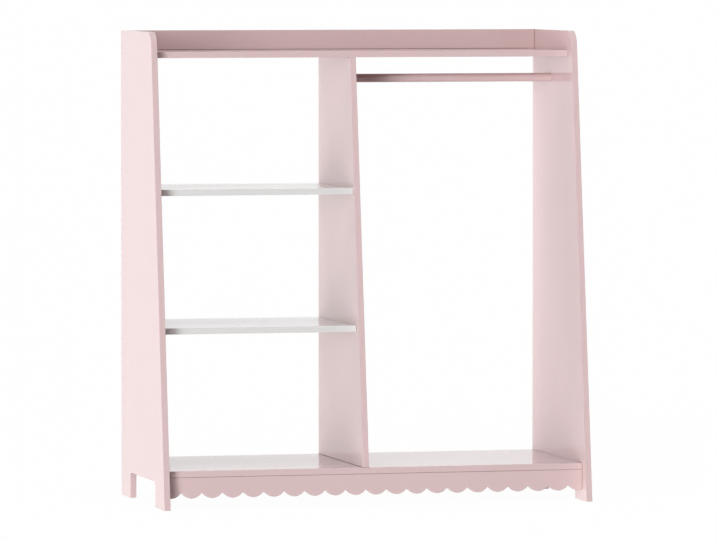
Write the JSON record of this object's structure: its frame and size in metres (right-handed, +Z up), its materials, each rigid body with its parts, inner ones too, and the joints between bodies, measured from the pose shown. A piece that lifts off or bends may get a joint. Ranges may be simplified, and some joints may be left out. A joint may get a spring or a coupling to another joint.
{
  "type": "open kids wardrobe",
  "caption": "Low open wardrobe for a child's room: tapered sides on cut-out feet, loose shelves in one bay, a hanging rail in the other, and a scalloped apron under the bottom shelf.",
  "frame": {"origin": "on the floor, under the middle of the overall box", "axes": "+Z up, the front faces -Y, +X to the right of someone who faces the front"},
  "size_m": [1.12, 0.506, 1.2],
  "materials": {
    "pink_paint": "satin pale pink paint on board",
    "white_paint": "satin white paint on board",
    "rail_paint": "satin pale pink paint on a round rail",
    "plated_steel": "bright plating",
    "zinc": "bare die-cast zinc",
    "dowel_wood": "bare wood",
    "cap_plastic": "moulded pale pink plastic"
  },
  "bodies": {
    "carcass": {"left_side_panel": "pink_paint", "right_side_panel": "pink_paint", "divider_panel": "pink_paint", "top_shelf": "pink_paint", "back_rail": "pink_paint", "bottom_shelf": "pink_paint", "scalloped_apron": "pink_paint", "upper_shelf_supports": "plated_steel", "lower_shelf_supports": "plated_steel", "divider_cam_caps": "cap_plastic", "top_shelf_cam_bolts": "plated_steel", "bottom_shelf_cam_bolts": "plated_steel", "divider_cam_bolts": "plated_steel", "back_rail_cam_bolts": "plated_steel", "apron_cam_bolts": "plated_steel", "top_shelf_cam_locks": "zinc", "bottom_shelf_cam_locks": "zinc", "divider_cam_locks": "zinc", "back_rail_cam_locks": "zinc", "apron_cam_locks": "zinc", "top_shelf_dowels": "dowel_wood", "bottom_shelf_dowels": "dowel_wood", "divider_dowels": "dowel_wood", "back_rail_dowels": "dowel_wood", "apron_dowels": "dowel_wood"},
    "hanging_rail": {"hanging_rail": "rail_paint"},
    "upper_shelf": {"upper_shelf": "white_paint"},
    "lower_shelf": {"lower_shelf": "white_paint"}
  },
  "joints": [
    {"name": "hanging_rail_turn", "type": "hinge", "parent": "carcass", "child": "hanging_rail", "pos_m": [0.2625, 0.085, 1.0775], "axis": [1, 0, 0], "continuous": true},
    {"name": "upper_shelf_slide", "type": "slide", "parent": "carcass", "child": "upper_shelf", "axis": [0, -1, 0], "range_m": [0, 0.42]},
    {"name": "lower_shelf_slide", "type": "slide", "parent": "carcass", "child": "lower_shelf", "axis": [0, -1, 0], "range_m": [0, 0.465]}
  ]
}
